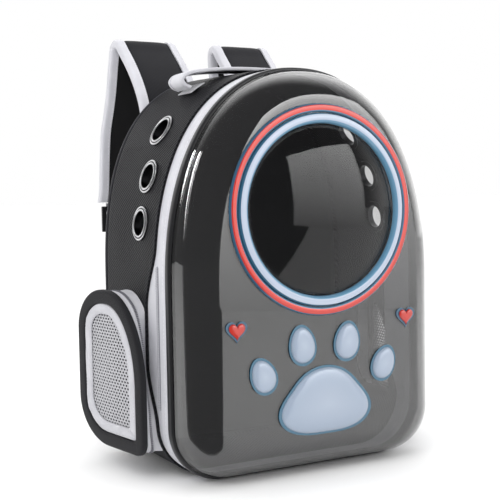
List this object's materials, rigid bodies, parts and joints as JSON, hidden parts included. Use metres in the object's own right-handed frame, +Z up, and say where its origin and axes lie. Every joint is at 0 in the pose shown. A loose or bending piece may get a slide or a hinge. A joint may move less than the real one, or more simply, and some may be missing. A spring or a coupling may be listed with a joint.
{
  "type": "bubble pet carrier backpack",
  "caption": "Hollow arched pet carrier worn on the back: fabric case with a clear moulded front, a domed window, air eyelets, mesh side pockets, two padded straps and a top handle.",
  "frame": {"origin": "centre of the flat base of the fabric case, on the surface that it stands on", "axes": "+Z up, +Y towards the wearer's back, -Y towards the clear front, +X to the wearer's right"},
  "size_m": [0.3752, 0.3246, 0.4615],
  "materials": {
    "coated_fabric": "black polyester with a fine twill and a smooth coating, slight sheen",
    "piping_cord": "black woven piping",
    "pad_fabric": "black padded air mesh",
    "strap_fabric": "black woven strap fabric, padded",
    "white_tape": "white woven binding tape",
    "zip_coil": "moulded nylon zip coil, light grey",
    "black_plastic": "moulded black plastic",
    "clear_plastic": "smoke-clear vacuum-formed plastic, high gloss",
    "pale_relief": "pale grey-blue glossy paint under clear plastic, dark blue outlines",
    "red_relief": "red glossy paint under clear plastic, dark blue outlines",
    "chrome": "polished plated steel",
    "mesh": "grey and white knitted spacer mesh"
  },
  "bodies": {
    "root": {"case_shell": "coated_fabric", "case_back": "coated_fabric", "back_piping": "piping_cord", "back_pad": "pad_fabric", "zip_tape": "white_tape", "zip_coil_left": "zip_coil", "zip_coil_right": "zip_coil", "zip_slider": "chrome", "rim_piping": "coated_fabric", "clear_shell": "clear_plastic", "window_dome": "clear_plastic", "window_ring": "pale_relief", "accent_ring": "red_relief", "paw_pad": "pale_relief", "paw_toe_1": "pale_relief", "paw_toe_2": "pale_relief", "paw_toe_3": "pale_relief", "paw_toe_4": "pale_relief", "heart_left": "red_relief", "heart_right": "red_relief", "eyelet_left_1": "chrome", "eyelet_left_2": "chrome", "eyelet_left_3": "chrome", "eyelet_right_1": "chrome", "eyelet_right_2": "chrome", "eyelet_right_3": "chrome", "pocket_face_left": "coated_fabric", "pocket_frame_left": "white_tape", "pocket_mesh_left": "mesh", "pocket_gusset_left": "white_tape", "pocket_coil_left": "zip_coil", "strap_left": "strap_fabric", "strap_binding_left_1": "white_tape", "strap_binding_left_2": "white_tape", "ladder_lock_left": "black_plastic", "strap_tab_left": "white_tape", "strap_webbing_left": "white_tape", "pocket_face_right": "coated_fabric", "pocket_frame_right": "white_tape", "pocket_mesh_right": "mesh", "pocket_gusset_right": "white_tape", "pocket_coil_right": "zip_coil", "strap_right": "strap_fabric", "strap_binding_right_1": "white_tape", "strap_binding_right_2": "white_tape", "ladder_lock_right": "black_plastic", "strap_tab_right": "white_tape", "strap_webbing_right": "white_tape", "top_handle": "strap_fabric", "handle_binding_front": "white_tape", "handle_binding_back": "white_tape", "handle_tab_left": "white_tape", "handle_tab_right": "white_tape"}
  },
  "joints": []
}
